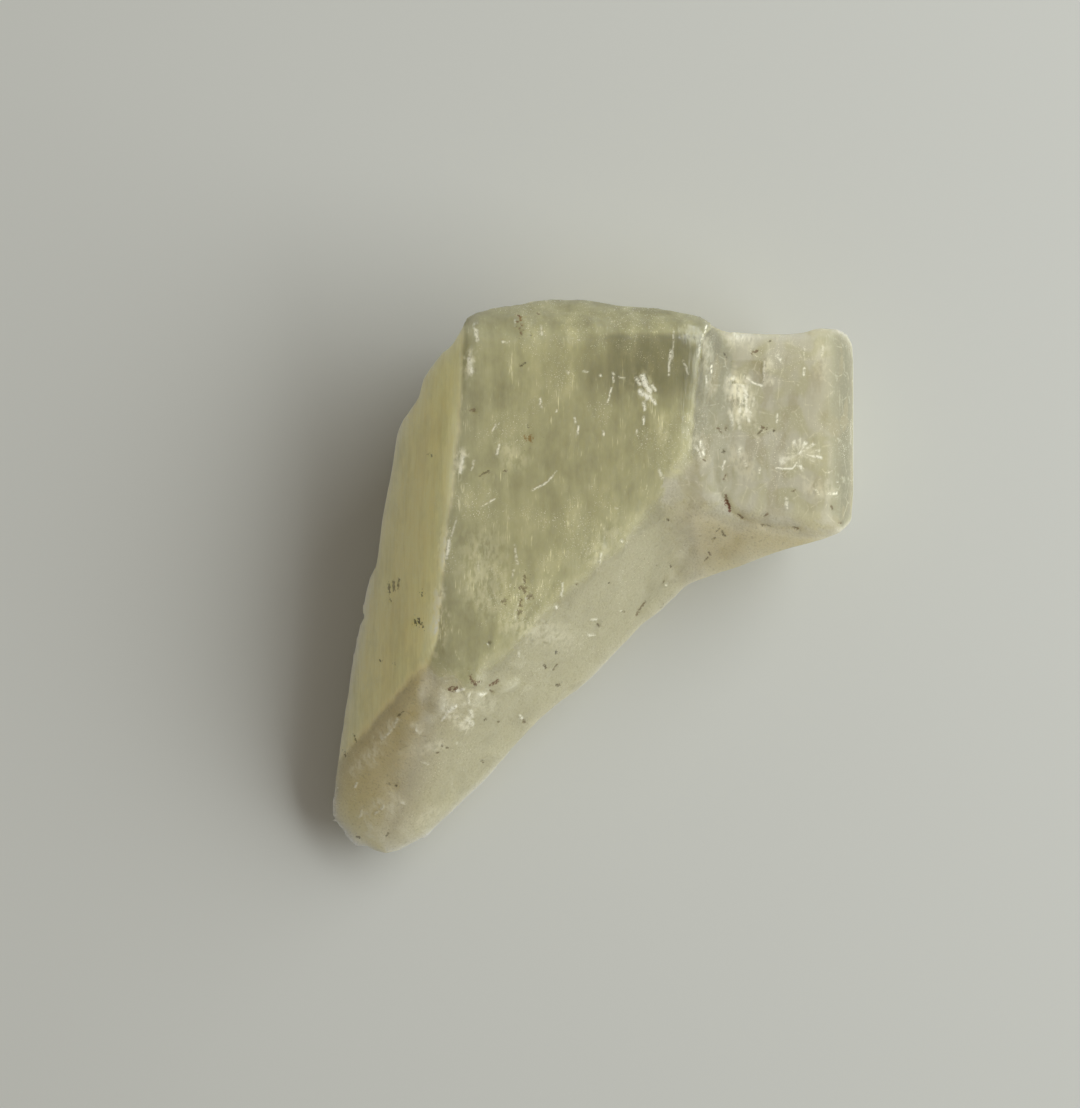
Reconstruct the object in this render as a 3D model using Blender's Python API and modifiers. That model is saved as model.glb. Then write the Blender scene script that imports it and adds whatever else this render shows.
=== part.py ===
"""A loose hiddenite crystal: the yellow-green variety of spodumene, broken at its ends and etched.

The crystal lies on its side. +Y is the long way of the prism, close to its c axis, which every
growth line follows. +X points to the small cleaved block at its right end, and +Z is up. All
sizes below are millimetres; the finished solid is scaled to metres at the end.

It grew as one piece, so it is one object. It is made as a mineral collector would describe it:
two convex bodies grown together, the prism and the block, each bounded by flat faces given by a
strike line and a dip; a broken outline that cuts through both; then the etched and striated skin.
"""

import math

import bmesh
import bpy
import numpy as np
from mathutils import Matrix, Vector, noise

MM = 0.001
NAME = "crystal"

# ---- driving dimensions ------------------------------------------------------------------------

BLANK_HEIGHT = 12.0
MIDDLE = (0.0, -0.16, 0.0)  # the middle of the outline, which becomes the origin
C_AXIS_LEAN = math.radians(3.0)  # the growth lines lean this far from +Y, foot to the left

# The broken outline as seen from above, anticlockwise from the foot of the right end.
OUTLINE = [
    (11.12, 2.46), (11.22, 3.6), (11.23, 9.0), (11.17, 9.95), (10.92, 10.35), (10.5, 10.57),
    (10.02, 10.64), (9.5, 10.55), (9.09, 10.4), (8.4, 10.31), (7.2, 10.31), (6.3, 10.35),
    (5.67, 10.38), (5.24, 10.58), (4.59, 10.92), (3.95, 11.15), (2.46, 11.4), (1.2, 11.48),
    (0.26, 11.65), (-0.5, 11.74), (-1.5, 11.74), (-2.4, 11.69), (-2.91, 11.52), (-3.55, 11.36),
    (-4.1, 11.27), (-4.82, 11.1), (-5.26, 10.82), (-5.52, 10.27), (-5.89, 9.75), (-6.32, 9.45),
    (-6.78, 8.85), (-7.12, 8.4), (-7.32, 7.65), (-7.67, 7.15), (-8.04, 6.66), (-8.28, 6.1),
    (-8.5, 4.6), (-8.72, 3.6), (-8.95, 2.4), (-9.1, 1.2), (-9.22, 0.45), (-9.48, 0.05),
    (-9.76, -0.75), (-9.84, -1.5), (-9.7, -1.72), (-9.98, -2.05), (-10.18, -3.0), (-10.34, -4.0),
    (-10.44, -4.9), (-10.62, -5.9), (-10.7, -6.55), (-10.76, -6.72), (-10.88, -7.6), (-11.03, -8.6),
    (-11.16, -9.45), (-11.27, -10.0), (-11.25, -10.62), (-11.05, -11.1), (-10.82, -11.62),
    (-10.45, -11.8), (-9.82, -11.76), (-9.45, -11.92), (-8.94, -12.08), (-8.3, -11.93),
    (-7.78, -11.6), (-6.98, -11.26), (-6.1, -10.5), (-5.33, -9.72), (-4.8, -9.1), (-4.3, -8.55),
    (-3.5, -7.55), (-2.85, -6.84), (-2.2, -6.15), (-1.3, -5.4), (-0.45, -4.82), (0.2, -4.26),
    (0.8, -3.6), (1.5, -2.86), (2.2, -2.08), (3.0, -1.5), (3.6, -0.92), (4.34, -0.28),
    (5.4, 0.14), (6.5, 0.5), (7.4, 0.88), (8.2, 1.15), (9.1, 1.42), (9.92, 1.64), (10.55, 1.9),
    (11.0, 2.26),
]

# The broad striated face, which falls gently to the right and towards the foot.
BROAD_HEIGHT = 8.6
BROAD_CORNER = (-5.3, 10.0)
BROAD_FALL_RIGHT = 0.069
BROAD_FALL_FOOT = 0.07
FOOT_ROUNDING = 0.35  # how far the chamfers between the foot and the slope are set back
CREST_ROUNDING = 0.4  # the same for the long edge between the broad face and the etched slope
EDGE_ROUNDING = 0.25  # and for the short edges of the broad face beside it

# The cleaved block at the right: its own lower top, and the chip flaked out of it.
BLOCK_HEIGHT = 7.0
BLOCK_CORNER = (5.3, 10.2)
BLOCK_FALL_RIGHT = 0.13
BLOCK_START = 3.0  # left of here the block is wholly inside the prism
CHIP_DEPTH = 0.45
CHIP_OUTLINE = [
    (5.42, 11.6), (5.5, 8.0), (5.5, 6.4), (5.42, 5.2), (5.5, 4.0), (5.68, 3.25), (6.0, 2.75),
    (6.4, 2.4), (7.0, 1.7), (8.0, 0.0), (12.4, 0.0), (12.4, 11.6),
]

# The skin: etched faces end rounded, growth lines stand in low ribs, and the head is hackly.
VOXEL = 0.16
ETCH_ROUNDS = 18
RIB_HEIGHT = 0.035
FROST_HEIGHT = 0.06
HACKLE_HEIGHT = 0.12
CREVICE = [
    (5.2, 4.9), (5.32, 4.0), (5.62, 3.22), (6.02, 2.68), (6.6, 2.32), (7.5, 2.12), (8.9, 2.0),
]
CREVICE_DEPTH = 0.2
CREVICE_WIDTH = 0.16
KNOB_LINE = [(-8.1, -6.2), (-6.0, -5.0), (-4.6, -4.6), (-3.4, -4.5)]
KNOB_HEIGHT = 0.3
PITS = [  # x, y, radius, depth
    (-7.55, -2.0, 0.2, 0.12), (-0.8, -5.0, 0.25, 0.12), (-0.3, -5.6, 0.22, 0.1),
    (-8.5, -9.0, 0.3, 0.1), (5.6, 0.9, 0.3, 0.12), (6.1, 1.5, 0.22, 0.1),
    (4.2, 1.1, 0.2, 0.08), (2.5, -0.6, 0.2, 0.08), (-1.6, -1.1, 0.3, 0.06),
]
MOST_TRIANGLES = 9400


def broad(x, y):
    """Height of the broad face over a point."""
    x0, y0 = BROAD_CORNER
    return BROAD_HEIGHT - BROAD_FALL_RIGHT * (x - x0) - BROAD_FALL_FOOT * (y0 - y)


def block_top(x, y):
    """Height of the block's top over a point, before its chip was lost."""
    x0, y0 = BLOCK_CORNER
    return BLOCK_HEIGHT - BLOCK_FALL_RIGHT * (x - x0)


def face(start, end, dip, fall_at=None):
    """A flat face as (point, outward normal). Its strike runs from start to end with the stone on
    the left, and it falls away to the right by dip degrees; past 90 it is an overhang."""
    start, end = Vector(start), Vector(end)
    strike = (end - start).normalized()
    outward = Vector((strike.y, -strike.x, 0)).normalized()
    down_dip = outward * math.cos(math.radians(dip)) - Vector((0, 0, math.sin(math.radians(dip))))
    return start, down_dip.cross(strike).normalized()


def on(surface, *places):
    """Plan points lifted onto a surface."""
    return [(x, y, surface(x, y)) for x, y in places]


def through(a, b, c):
    """The flat face through three points listed anticlockwise as seen from outside."""
    a, b, c = Vector(a), Vector(b), Vector(c)
    return a, (b - a).cross(c - a).normalized()


def plane_of(surface, around):
    """The flat face that a height function makes near a plan point."""
    x, y = around
    return through(*on(surface, (x, y), (x + 1, y), (x, y + 1)))


def chamfer(first, second, share, depth):
    """A flat face across the edge of two others, turned from the first towards the second, and
    set back from the edge by depth."""
    a, b = np.array(first[1]), np.array(second[1])
    across = np.cross(a, b)
    heights = [a @ np.array(first[0]), b @ np.array(second[0]), 0.0]
    on_edge = np.linalg.solve([a, b, across], heights)
    normal = Vector(a * (1 - share) + b * share).normalized()
    return Vector(on_edge) - normal * depth, normal


def prism_faces():
    """The faces of the main prism, from its broad face round to its foot."""
    foot = through((-10.6, -8.1, 3.4), (-8.94, -12.08, 2.0), (-5.97, -4.85, 7.5))
    slope = face(*on(broad, (-2.19, -1.78), (2.84, 2.92)), 57)
    turn = face(*on(broad, (2.84, 2.95), (4.12, 4.85)), 56)
    top = plane_of(broad, (0, 0))
    ridge_top = Vector((-5.28, 10.2, BROAD_HEIGHT))
    along_c = Vector((-math.sin(C_AXIS_LEAN), -math.cos(C_AXIS_LEAN), 0))
    ridge_foot = ridge_top + 16 * along_c
    bevel = Vector((0.42, 0, 0.02))
    return {
        "broad": top,
        "ridge_bevel": face(ridge_top + bevel, ridge_foot + bevel, 24),
        "left": face(ridge_top, ridge_foot, 50),
        "head_bevel": face(*on(broad, (4.8, 9.98), (-5.3, 10.02)), 24),
        "head": face(*on(broad, (4.8, 10.42), (-5.3, 10.5)), 52),
        "head_corner": face((5.15, 10.25, 7.75), (2.2, 11.25, 7.45), 50),
        "right_wall": face(*on(broad, (4.22, 5.4), (4.82, 10.2)), 57),
        "right_turn": turn,
        "turn_crest": chamfer(top, turn, 0.5, EDGE_ROUNDING),
        "crest": chamfer(top, slope, 0.35, CREST_ROUNDING),
        "crest_turn": chamfer(top, slope, 0.7, 0.75 * CREST_ROUNDING),
        "etched_slope": slope,
        "foot_crest": chamfer(top, foot, 0.5, EDGE_ROUNDING),
        "foot": foot,
        "foot_turn": chamfer(foot, slope, 0.33, FOOT_ROUNDING),
        "slope_turn": chamfer(foot, slope, 0.67, FOOT_ROUNDING),
        "slope_under": face((-6.6, -10.9, 2.1), (3.4, -1.1, 1.9), 127),
    }


def block_faces():
    """The faces of the cleaved block, down to the etched skirt below it."""
    return {
        "block_top": plane_of(block_top, (8, 6)),
        "block_head": face(*on(block_top, (11.2, 10.12), (5.0, 10.15)), 48),
        "block_end": face(*on(block_top, (10.5, 2.0), (10.5, 10.2)), 62),
        "block_skirt": face(*on(block_top, (5.0, 2.9), (10.6, 1.9)), 54),
        "skirt_under": face((4.3, -0.3, 2.2), (11.0, 2.0, 3.6), 116),
        "block_root": face((2.5, 12.0, 0.0), (2.5, -3.0, 0.0), 90),
    }


def underside_faces():
    """The overhangs and the resting face that both bodies share."""
    return {
        "keel": face((-8.5, 4.6, 4.7), (-10.43, -4.87, 3.1), 129),
        "keel_head": face((-5.6, 10.4, 5.6), (-8.3, 6.1, 4.9), 118),
        "head_under": face((9.0, 10.5, 5.2), (-4.0, 11.7, 5.4), 108),
        "right_under": face((11.25, 2.0, 4.4), (11.25, 10.0, 4.6), 113),
        "block_under": face((5.2, 0.0, 0.0), (5.6, 10.0, 0.0), 167),
        "foot_under": through((-11.2, -10.0, 1.5), (-6.5, -7.0, 0.0), (-8.94, -12.08, 1.2)),
        "rest": (Vector((0, 0, 0)), Vector((0, 0, -1))),
    }


# ---- making the body ---------------------------------------------------------------------------


def clear_scene():
    for obj in list(bpy.data.objects):
        bpy.data.objects.remove(obj)


def helper(name, mesh, collection):
    obj = bpy.data.objects.new(name, mesh)
    obj.hide_render = True
    obj.display_type = "WIRE"
    collection.objects.link(obj)
    return obj


def cleave(bm, point, normal):
    """Cuts the body along a plane, drops what lies outside, and closes the cut."""
    geometry = bm.verts[:] + bm.edges[:] + bm.faces[:]
    cut = bmesh.ops.bisect_plane(
        bm, geom=geometry, dist=1e-5, plane_co=point, plane_no=normal, clear_outer=True
    )
    edges = [item for item in cut["geom_cut"] if isinstance(item, bmesh.types.BMEdge)]
    if edges:
        bmesh.ops.holes_fill(bm, edges=edges)


def convex_body(name, faces, size, collection):
    """A body bounded by flat faces, cut from a cube."""
    bm = bmesh.new()
    bmesh.ops.create_cube(bm, size=size)
    for point, normal in faces.values():
        cleave(bm, point, normal)
    bmesh.ops.recalc_face_normals(bm, faces=bm.faces[:])
    mesh = bpy.data.meshes.new(name)
    bm.to_mesh(mesh)
    bm.free()
    return helper(name, mesh, collection)


def extruded(name, outline, low, high, collection):
    """A solid with a flat outline, from a filled 2D curve."""
    curve = bpy.data.curves.new(name, "CURVE")
    curve.dimensions = "2D"
    curve.fill_mode = "BOTH"
    curve.extrude = (high - low) / 2
    spline = curve.splines.new("POLY")
    spline.points.add(len(outline) - 1)
    for point, (x, y) in zip(spline.points, outline):
        point.co = (x, y, 0, 1)
    spline.use_cyclic_u = True
    guide = bpy.data.objects.new(name + "_curve", curve)
    collection.objects.link(guide)
    bpy.context.view_layer.update()
    graph = bpy.context.evaluated_depsgraph_get()
    mesh = bpy.data.meshes.new_from_object(guide.evaluated_get(graph))
    bpy.data.objects.remove(guide)
    bm = bmesh.new()
    bm.from_mesh(mesh)
    bmesh.ops.remove_doubles(bm, verts=bm.verts[:], dist=1e-4)
    bmesh.ops.translate(bm, verts=bm.verts[:], vec=(0, 0, (low + high) / 2))
    bmesh.ops.recalc_face_normals(bm, faces=bm.faces[:])
    bm.to_mesh(mesh)
    bm.free()
    return helper(name, mesh, collection)


def chip_cutter(collection):
    """The flake lost from the block: its floor lies parallel to the block's top."""
    chip = extruded("chip", CHIP_OUTLINE, BLOCK_HEIGHT - CHIP_DEPTH, BLANK_HEIGHT, collection)
    tilt = Matrix.Identity(4)
    tilt[2][0] = -BLOCK_FALL_RIGHT
    tilt[2][3] = BLOCK_FALL_RIGHT * BLOCK_CORNER[0]
    chip.data.transform(tilt)
    return chip


def combine(body, other, operation):
    modifier = body.modifiers.new(operation.lower() + "_" + other.name, "BOOLEAN")
    modifier.operation = operation
    modifier.object = other
    modifier.solver = "EXACT"


def voxelised(body, size):
    """The evaluated body as an even quad mesh, so that its skin can be shaped point by point."""
    remesh = body.modifiers.new("remesh", "REMESH")
    remesh.mode = "VOXEL"
    remesh.voxel_size = size
    bpy.context.view_layer.update()
    graph = bpy.context.evaluated_depsgraph_get()
    mesh = bpy.data.meshes.new_from_object(body.evaluated_get(graph))
    mesh.name = body.name
    return mesh


# ---- the skin ----------------------------------------------------------------------------------


def smoothstep(low, high, value):
    t = np.clip((value - low) / (high - low), 0, 1)
    return t * t * (3 - 2 * t)


def height_over(plane, points):
    """Height of a flat face over each point's place in plan."""
    point, normal = (np.array(v) for v in plane)
    return point[2] - ((points[:, :2] - point[:2]) @ normal[:2]) / normal[2]


def top_of(body, points):
    """Height of the uppermost skin of a body over each point's place in plan."""
    return np.min([height_over(p, points) for p in body.values() if p[1].z > 0.05], axis=0)


def shows(points, normals, body, other, names, blend):
    """1 where one of these faces is the stone's skin as seen from above, 0 on all other faces."""
    skin = top_of(body, points)
    nearest = np.min([height_over(body[name], points) for name in names], axis=0)
    share = 1 - smoothstep(0.03, blend, nearest - skin)
    in_block = points[:, 0] > BLOCK_START
    hidden = smoothstep(0.0, 0.3, top_of(other, points) - skin)
    share *= np.where(in_block, 1 - hidden, 0.0 if "block_top" in body else 1.0)
    return share * smoothstep(0.0, 0.25, normals[:, 2])


def noise_at(points, seed):
    """Perlin noise from -1 to 1 at each point."""
    offset = Vector((17.3 * seed, -9.1 * seed, 5.7 * seed))
    return np.array([noise.noise(Vector(p) + offset) for p in points])


def along_growth(points, across, along):
    """Points in the frame of the growth lines, scaled so that noise makes ribs along them."""
    lean_cos, lean_sin = math.cos(C_AXIS_LEAN), math.sin(C_AXIS_LEAN)
    turn = np.array([[lean_cos, -lean_sin, 0], [lean_sin, lean_cos, 0], [0, 0, 1]])
    return (points @ turn.T) * np.array([across, along, across])


def terraces(value, steps):
    """Rounds a smooth value into treads with short risers between them."""
    scaled = value * steps
    tread = np.round(scaled)
    return (tread + 0.5 * np.tanh(7 * (scaled - tread)) / math.tanh(3.5)) / steps


def distance_to_line(points, line):
    """Distance in plan from each point to a line of corners."""
    best = np.full(len(points), 1e9)
    for start, end in zip(np.array(line[:-1]), np.array(line[1:])):
        step = end - start
        share = np.clip(((points[:, :2] - start) @ step) / (step @ step), 0, 1)
        nearest = start + share[:, None] * step
        best = np.minimum(best, np.linalg.norm(points[:, :2] - nearest, axis=1))
    return best


def shape_skin(mesh):
    """Rounds what acid etched, then lays ribs, ledges, lumps, pits and the crevice on the faces."""
    prism, block = prism_faces(), block_faces()
    bm = bmesh.new()
    bm.from_mesh(mesh)
    bm.normal_update()
    points = np.array([v.co for v in bm.verts])
    normals = np.array([v.normal for v in bm.verts])
    etched_names = ("etched_slope", "right_turn", "crest_turn", "foot", "foot_turn", "slope_turn")
    near_slope = shows(points, normals, prism, block, etched_names, 1.3)
    near_skirt = shows(points, normals, block, prism, ("block_skirt",), 0.9)
    soft = [v for v, e in zip(bm.verts, np.maximum(near_slope, near_skirt)) if e > 0.1]
    for _ in range(ETCH_ROUNDS):
        bmesh.ops.smooth_vert(
            bm, verts=soft, factor=0.5, use_axis_x=True, use_axis_y=True, use_axis_z=True
        )
    bm.normal_update()
    points = np.array([v.co for v in bm.verts])
    normals = np.array([v.normal for v in bm.verts])
    etched = np.maximum(
        shows(points, normals, prism, block, etched_names, 0.45),
        shows(points, normals, block, prism, ("block_skirt",), 0.45),
    )
    head_end = smoothstep(10.2, 10.8, points[:, 1]) * smoothstep(0.5, 0.8, normals[:, 1])
    head = np.maximum(shows(points, normals, prism, block, ("head", "head_corner"), 0.45), head_end)
    above = smoothstep(0.2, 0.5, normals[:, 2])
    ribbed = (1 - etched) * (1 - head)

    ribs = terraces(noise_at(along_growth(points, 0.8, 0.05), 1), 5)
    ribs += 0.35 * noise_at(along_growth(points, 2.6, 0.16), 2)
    frost = noise_at(points * 0.6, 3) + 0.35 * noise_at(points * 1.7, 4)
    hackle = terraces(noise_at(points * np.array([0.9, 0.9, 1.6]), 5), 4)
    lift = RIB_HEIGHT * ribs * ribbed + FROST_HEIGHT * frost * etched + HACKLE_HEIGHT * hackle * head

    crevice = distance_to_line(points, CREVICE)
    lift -= CREVICE_DEPTH * np.exp(-((crevice / CREVICE_WIDTH) ** 2)) * above
    knobs = distance_to_line(points, KNOB_LINE)
    lift += KNOB_HEIGHT * np.maximum(noise_at(points * 1.3, 7), -0.2) * np.exp(-((knobs / 0.8) ** 2))
    for x, y, radius, depth in PITS:
        away = np.hypot(points[:, 0] - x, points[:, 1] - y)
        lift -= depth * np.exp(-((away / radius) ** 2)) * above

    resting = points[:, 2] < 0.4 * VOXEL
    lift *= smoothstep(0, 1.0, points[:, 2])
    points += normals * lift[:, None]
    points[:, 2] = np.maximum(points[:, 2], 0)
    points[resting, 2] = 0
    for vert, point in zip(bm.verts, points):
        vert.co = point
    bm.to_mesh(mesh)
    bm.free()


def stone_material():
    material = bpy.data.materials.new("hiddenite")
    material.use_nodes = True
    shader = material.node_tree.nodes["Principled BSDF"]
    shader.inputs["Base Color"].default_value = (0.62, 0.6, 0.36, 1)
    shader.inputs["Roughness"].default_value = 0.3
    shader.inputs["Metallic"].default_value = 0
    shader.inputs["IOR"].default_value = 1.66
    shader.inputs["Transmission Weight"].default_value = 0.5
    return material


def build():
    clear_scene()
    parts = bpy.data.collections.new("hiddenite_crystal")
    cutters = bpy.data.collections.new("cutters")
    for collection in (parts, cutters):
        bpy.context.scene.collection.children.link(collection)

    blank = extruded("blank", OUTLINE, -0.5, BLANK_HEIGHT, cutters)
    underside = convex_body("underside", underside_faces(), 44, cutters)
    prism = convex_body("prism", prism_faces(), 40, cutters)
    block = convex_body("block", block_faces(), 42, cutters)
    combine(prism, block, "UNION")
    combine(prism, blank, "INTERSECT")
    combine(prism, underside, "INTERSECT")
    combine(prism, chip_cutter(cutters), "DIFFERENCE")

    mesh = voxelised(prism, VOXEL)
    shape_skin(mesh)
    mesh.transform(Matrix.Scale(MM, 4) @ Matrix.Translation(-Vector(MIDDLE)))
    mesh.shade_smooth()
    mesh.set_sharp_from_angle(angle=math.radians(30))
    mesh.materials.append(stone_material())
    crystal = bpy.data.objects.new(NAME, mesh)
    parts.objects.link(crystal)
    decimate = crystal.modifiers.new("facets", "DECIMATE")
    decimate.ratio = MOST_TRIANGLES / (2 * len(mesh.polygons))


build()
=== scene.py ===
"""The looks of a loose hiddenite crystal, the yellow-green variety of spodumene, lying on a pale
table. The CAD solid gives its size and place; this adds the etched, striated skin, the clear and
cloudy stone, the cleavage feathers inside it and the rusty grains in its pits."""

import math

import bmesh
import bpy
import numpy as np
from mathutils import Matrix, Vector, noise


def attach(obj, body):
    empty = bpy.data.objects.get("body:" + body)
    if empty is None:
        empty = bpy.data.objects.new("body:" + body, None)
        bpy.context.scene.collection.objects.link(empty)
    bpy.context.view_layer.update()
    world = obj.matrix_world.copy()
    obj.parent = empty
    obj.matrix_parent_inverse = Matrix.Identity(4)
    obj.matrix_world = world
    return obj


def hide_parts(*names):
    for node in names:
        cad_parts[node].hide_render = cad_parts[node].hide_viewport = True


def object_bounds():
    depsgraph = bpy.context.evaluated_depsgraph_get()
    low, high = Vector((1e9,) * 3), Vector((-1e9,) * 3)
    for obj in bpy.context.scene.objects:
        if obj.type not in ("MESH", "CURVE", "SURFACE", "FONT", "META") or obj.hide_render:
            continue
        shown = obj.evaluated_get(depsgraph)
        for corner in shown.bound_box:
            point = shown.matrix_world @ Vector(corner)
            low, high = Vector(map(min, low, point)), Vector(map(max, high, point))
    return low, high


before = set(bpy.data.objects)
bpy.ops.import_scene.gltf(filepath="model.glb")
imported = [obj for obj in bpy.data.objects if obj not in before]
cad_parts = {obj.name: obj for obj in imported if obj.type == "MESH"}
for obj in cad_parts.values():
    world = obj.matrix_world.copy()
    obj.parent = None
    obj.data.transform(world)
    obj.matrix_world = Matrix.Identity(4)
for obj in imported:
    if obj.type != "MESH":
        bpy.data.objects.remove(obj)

cad_box = [list(corner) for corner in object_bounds()]

# The crystal: one piece of hiddenite, a flat prism along its c axis with a small cleaved block at
# its right, broken at the head and foot. Each face is a plane given by its strike and dip, in
# millimetres, and the two bodies are cleaved from cubes and grown into one.

MM = 0.001
MIDDLE = Vector((0.0, -0.16, 0.0))  # the middle of the outline, which becomes the origin
C_AXIS_LEAN = math.radians(3.0)  # the growth lines lean this far from +Y, foot to the left
CUBE = 40.0  # the prism's cube; the other two are a little larger, so that no sides coincide
BLANK_FOOT = -0.5
BLANK_HEIGHT = 12.0
VOXEL = 0.14  # the grain of the mesh on which the skin is raised
BROAD_HEIGHT = 8.6
BROAD_CORNER = (-5.3, 10.0)
BROAD_FALL_RIGHT = 0.069
BROAD_FALL_FOOT = 0.07
FOOT_ROUNDING = 0.35  # how far the chamfers between the foot and the slope are set back
CREST_ROUNDING = 0.4  # the same for the long edge between the broad face and the etched slope
EDGE_ROUNDING = 0.25  # and for the short edges of the broad face beside it
BLOCK_HEIGHT = 7.0
BLOCK_CORNER = (5.3, 10.2)
BLOCK_FALL_RIGHT = 0.13
BLOCK_START = 3.0  # left of here the block is wholly inside the prism
CHIP_DEPTH = 0.2  # of the step that is flaked out of the block
OUTLINE = [  # the broken outline as seen from above, anticlockwise from the foot of the right end
    (11.12, 2.46), (11.22, 3.6), (11.23, 9.0), (11.17, 9.95), (10.92, 10.35), (10.5, 10.57),
    (10.02, 10.64), (9.5, 10.55), (9.09, 10.4), (8.4, 10.31), (7.2, 10.31), (6.3, 10.35),
    (5.67, 10.38), (5.24, 10.58), (4.59, 10.92), (3.95, 11.15), (2.46, 11.4), (1.2, 11.48),
    (0.26, 11.65), (-0.5, 11.74), (-1.5, 11.74), (-2.4, 11.69), (-2.91, 11.52), (-3.55, 11.36),
    (-4.1, 11.27), (-4.82, 11.1), (-5.26, 10.82), (-5.52, 10.27), (-5.89, 9.75), (-6.32, 9.45),
    (-6.78, 8.85), (-7.12, 8.4), (-7.32, 7.65), (-7.67, 7.15), (-8.04, 6.66), (-8.28, 6.1),
    (-8.5, 4.6), (-8.72, 3.6), (-8.95, 2.4), (-9.1, 1.2), (-9.22, 0.45), (-9.48, 0.05),
    (-9.76, -0.75), (-9.84, -1.5), (-9.7, -1.72), (-9.98, -2.05), (-10.18, -3.0), (-10.34, -4.0),
    (-10.44, -4.9), (-10.62, -5.9), (-10.7, -6.55), (-10.76, -6.72), (-10.88, -7.6), (-11.03, -8.6),
    (-11.16, -9.45), (-11.27, -10.0), (-11.25, -10.62), (-11.05, -11.1), (-10.82, -11.62),
    (-10.45, -11.8), (-9.82, -11.76), (-9.45, -11.92), (-8.94, -12.08), (-8.3, -11.93),
    (-7.78, -11.6), (-6.98, -11.26), (-6.1, -10.5), (-5.33, -9.72), (-4.8, -9.1), (-4.3, -8.55),
    (-3.5, -7.55), (-2.85, -6.84), (-2.2, -6.15), (-1.3, -5.4), (-0.45, -4.82), (0.2, -4.26),
    (0.8, -3.6), (1.5, -2.86), (2.2, -2.08), (3.0, -1.5), (3.6, -0.92), (4.34, -0.28),
    (5.4, 0.14), (6.5, 0.5), (7.4, 0.88), (8.2, 1.15), (9.1, 1.42), (9.92, 1.64), (10.55, 1.9),
    (11.0, 2.26),
]
CHIP_SEAM = [  # the edge of the flaked step, from the head to the foot
    (5.42, 11.6), (5.5, 8.0), (5.5, 6.4), (5.42, 5.2), (5.5, 4.0), (5.68, 3.25), (6.0, 2.75),
    (6.4, 2.4), (7.0, 1.7),
]
CHIP_OUTLINE = CHIP_SEAM + [(8.0, 0.0), (12.4, 0.0), (12.4, 11.6)]


def broad(x, y):
    """Height of the broad striated face, which falls gently to the right and to the foot."""
    x0, y0 = BROAD_CORNER
    return BROAD_HEIGHT - BROAD_FALL_RIGHT * (x - x0) - BROAD_FALL_FOOT * (y0 - y)


def block_top(x, y):
    """Height of the block's top, which falls to the right alone."""
    return BLOCK_HEIGHT - BLOCK_FALL_RIGHT * (x - BLOCK_CORNER[0])


def face(start, end, dip):
    """Point and outward normal: the stone lies left of the strike, the face falls to its right."""
    start, end = Vector(start), Vector(end)
    strike = (end - start).normalized()
    outward = Vector((strike.y, -strike.x, 0)).normalized()
    down_dip = outward * math.cos(math.radians(dip)) - Vector((0, 0, math.sin(math.radians(dip))))
    return start, down_dip.cross(strike).normalized()


def through(a, b, c):
    """The face that holds three points, given anticlockwise as seen from outside."""
    a, b, c = Vector(a), Vector(b), Vector(c)
    return a, (b - a).cross(c - a).normalized()


def on(surface, *places):
    """Points of a surface over these places in plan."""
    return [(x, y, surface(x, y)) for x, y in places]


def chamfer(first, second, share, depth):
    """A face across the edge of two others, turned to the second by a share and set back."""
    a, b = np.array(first[1]), np.array(second[1])
    heights = [a @ np.array(first[0]), b @ np.array(second[0]), 0.0]
    on_edge = np.linalg.solve([a, b, np.cross(a, b)], heights)
    normal = Vector(a * (1 - share) + b * share).normalized()
    return Vector(on_edge) - normal * depth, normal


RIDGE_LENGTH = 16.0
ridge_head = Vector((-5.28, 10.2, BROAD_HEIGHT))
ridge_foot = ridge_head + RIDGE_LENGTH * Vector((-math.sin(C_AXIS_LEAN), -math.cos(C_AXIS_LEAN), 0))
bevel = Vector((0.42, 0, 0.02))  # from the ridge to the near edge of its bevel
foot = through((-10.6, -8.1, 3.4), (-8.94, -12.08, 2.0), (-5.97, -4.85, 7.5))
slope = face(*on(broad, (-2.19, -1.78), (2.84, 2.92)), 57)
turn = face(*on(broad, (2.84, 2.95), (4.12, 4.85)), 56)
broad_face = through(*on(broad, (0, 0), (1, 0), (0, 1)))
PRISM = {
    "broad": broad_face,
    "ridge_bevel": face(ridge_head + bevel, ridge_foot + bevel, 24),
    "left": face(ridge_head, ridge_foot, 50),
    "head_bevel": face(*on(broad, (4.8, 9.98), (-5.3, 10.02)), 24),
    "head": face(*on(broad, (4.8, 10.42), (-5.3, 10.5)), 52),
    "head_corner": face((5.15, 10.25, 7.75), (2.2, 11.25, 7.45), 50),
    "right_wall": face(*on(broad, (4.22, 5.4), (4.82, 10.2)), 57),
    "right_turn": turn,
    "turn_crest": chamfer(broad_face, turn, 0.5, EDGE_ROUNDING),
    "crest": chamfer(broad_face, slope, 0.35, CREST_ROUNDING),
    "crest_turn": chamfer(broad_face, slope, 0.7, 0.75 * CREST_ROUNDING),
    "etched_slope": slope,
    "foot_crest": chamfer(broad_face, foot, 0.5, EDGE_ROUNDING),
    "foot": foot,
    "foot_turn": chamfer(foot, slope, 0.33, FOOT_ROUNDING),
    "slope_turn": chamfer(foot, slope, 0.67, FOOT_ROUNDING),
    "slope_under": face((-6.6, -10.9, 2.1), (3.4, -1.1, 1.9), 127),
}
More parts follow.
